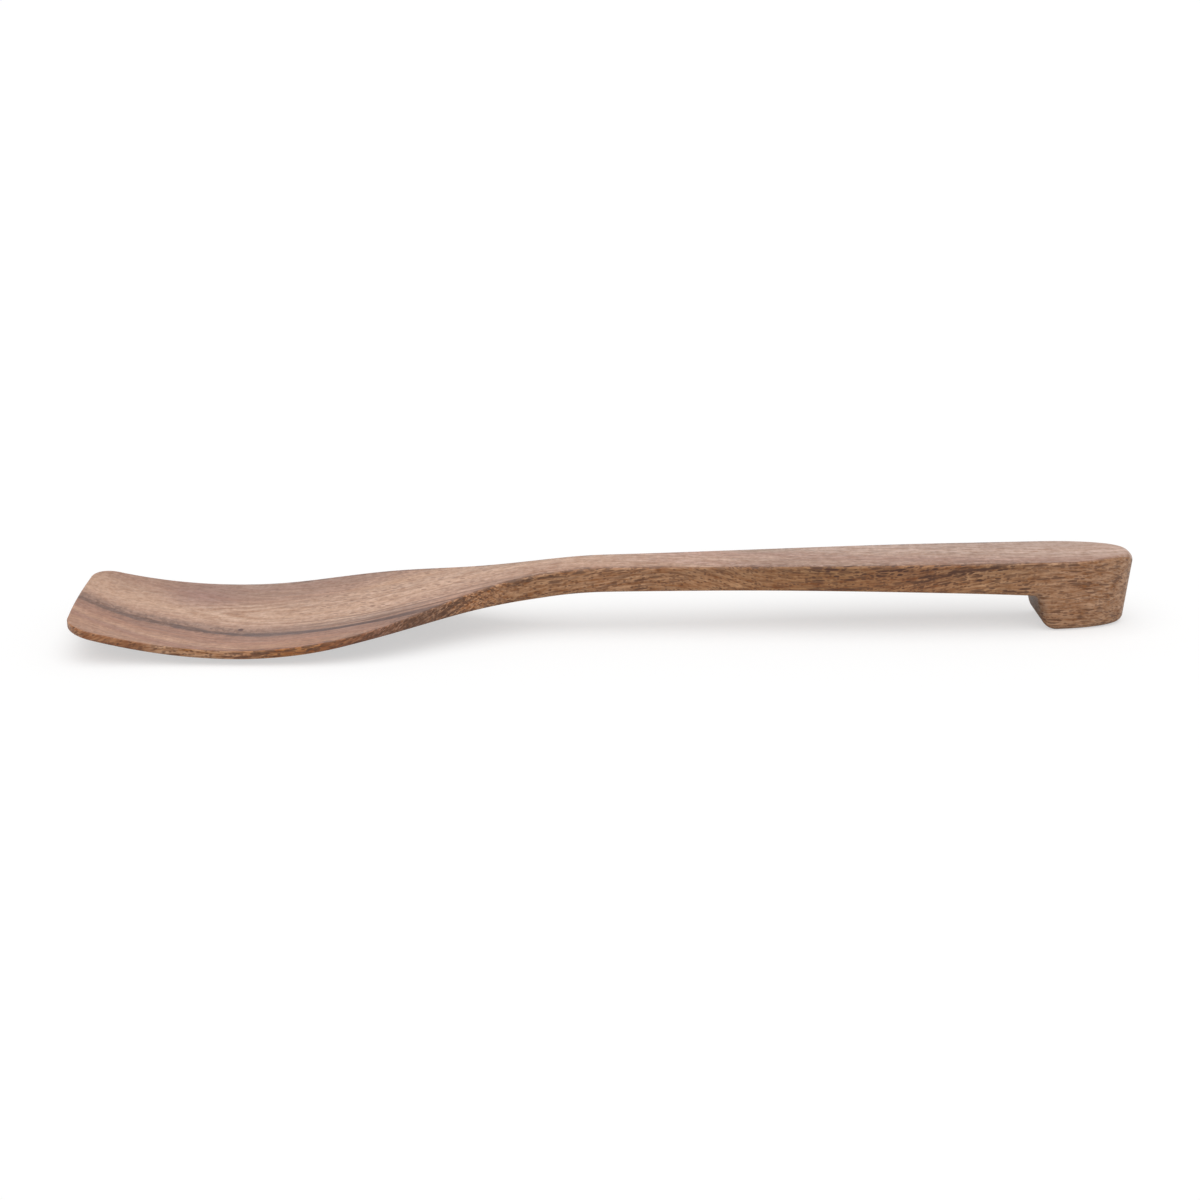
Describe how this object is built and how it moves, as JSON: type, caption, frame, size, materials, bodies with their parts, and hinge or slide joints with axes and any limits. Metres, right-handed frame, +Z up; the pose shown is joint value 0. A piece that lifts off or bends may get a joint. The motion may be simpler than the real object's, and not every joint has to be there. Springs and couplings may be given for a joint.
{
  "type": "wooden spatula",
  "caption": "One-piece carved wooden spatula: square-ended, upturned blade on a slim shaft, with a down-turned foot under the rounded end of the grip.",
  "frame": {"origin": "on the table under the spatula: half way along its length, on its middle plane, at the level of the foot's underside", "axes": "+X along the length, from the blade's tip to the end of the grip; +Y across the width; +Z up from the table"},
  "size_m": [0.33, 0.0658, 0.0236],
  "materials": {
    "wood": "sanded and oiled hardwood, open pored, pinkish brown with a dark heartwood streak"
  },
  "bodies": {
    "root": {"spatula": "wood"}
  },
  "joints": []
}
